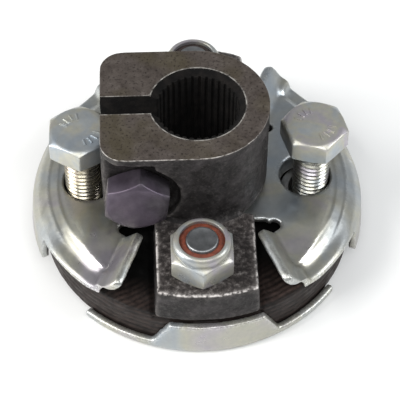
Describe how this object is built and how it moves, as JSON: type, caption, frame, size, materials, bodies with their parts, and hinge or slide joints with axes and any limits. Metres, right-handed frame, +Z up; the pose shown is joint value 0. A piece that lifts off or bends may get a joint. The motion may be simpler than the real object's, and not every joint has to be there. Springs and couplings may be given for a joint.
{
  "type": "steering column coupling",
  "caption": "Flexible steering shaft coupling: splined clamp hub on a reinforced rubber disc between zinc-plated steel plates, with hexagon bolts and nylon-insert lock nuts.",
  "frame": {"origin": "middle of the lower plate's underside, on the steering shaft axis", "axes": "+Z up the shaft axis towards the hub's machined top, the clamp slot opens towards -X, the two studs lie on the Y axis and the two flange bolts on the X axis"},
  "size_m": [0.0746, 0.0726, 0.0406],
  "materials": {
    "hub_flange": "rough casting with a machined top",
    "pinch_bolt": "dark phosphate",
    "rubber_disc": "matt, fabric reinforced",
    "stop_plate": "bright zinc",
    "lower_plate": "bright zinc",
    "flange_bolt_left": "bright zinc",
    "flange_bolt_right": "bright zinc",
    "threaded_sleeve_left": "plain steel",
    "threaded_sleeve_right": "plain steel",
    "stud_front": "satin",
    "stud_rear": "satin",
    "stud_bush_front": "plain steel",
    "stud_bush_rear": "plain steel",
    "lock_nut_front": "bright zinc",
    "lock_nut_rear": "bright zinc",
    "nylon_insert_front": "satin",
    "nylon_insert_rear": "satin"
  },
  "bodies": {
    "hub_side": {"hub_flange": "hub_flange", "stud_front": "stud_front", "stud_rear": "stud_rear", "stud_bush_front": "stud_bush_front", "stud_bush_rear": "stud_bush_rear", "lock_nut_front": "lock_nut_front", "lock_nut_rear": "lock_nut_rear", "nylon_insert_front": "nylon_insert_front", "nylon_insert_rear": "nylon_insert_rear", "lower_plate": "lower_plate"},
    "disc": {"rubber_disc": "rubber_disc"},
    "column_side": {"stop_plate": "stop_plate", "threaded_sleeve_left": "threaded_sleeve_left", "threaded_sleeve_right": "threaded_sleeve_right"},
    "left_bolt": {"flange_bolt_left": "flange_bolt_left"},
    "right_bolt": {"flange_bolt_right": "flange_bolt_right"},
    "clamp_bolt": {"pinch_bolt": "pinch_bolt"}
  },
  "joints": [
    {"name": "disc_bends_about_studs", "type": "hinge", "parent": "hub_side", "child": "disc", "pos_m": [0, 0, 0.0062], "axis": [0, 1, 0], "range_deg": [-1.5, 1.5], "stiffness_Nm_per_rad": 3, "deforming": ["rubber_disc"]},
    {"name": "disc_bends_about_bolts", "type": "hinge", "parent": "disc", "child": "column_side", "pos_m": [0, 0, 0.0062], "axis": [1, 0, 0], "range_deg": [-1.5, 1.5], "stiffness_Nm_per_rad": 3, "deforming": ["rubber_disc"]},
    {"name": "left_bolt_screws", "type": "slide", "parent": "column_side", "child": "left_bolt", "axis": [0, 0, 1], "range_m": [-0.011, 0.0015]},
    {"name": "right_bolt_screws", "type": "slide", "parent": "column_side", "child": "right_bolt", "axis": [0, 0, 1], "range_m": [-0.011, 0.012]},
    {"name": "clamp_bolt_screws", "type": "slide", "parent": "hub_side", "child": "clamp_bolt", "axis": [0, -1, 0], "range_m": [0, 0.027]}
  ]
}
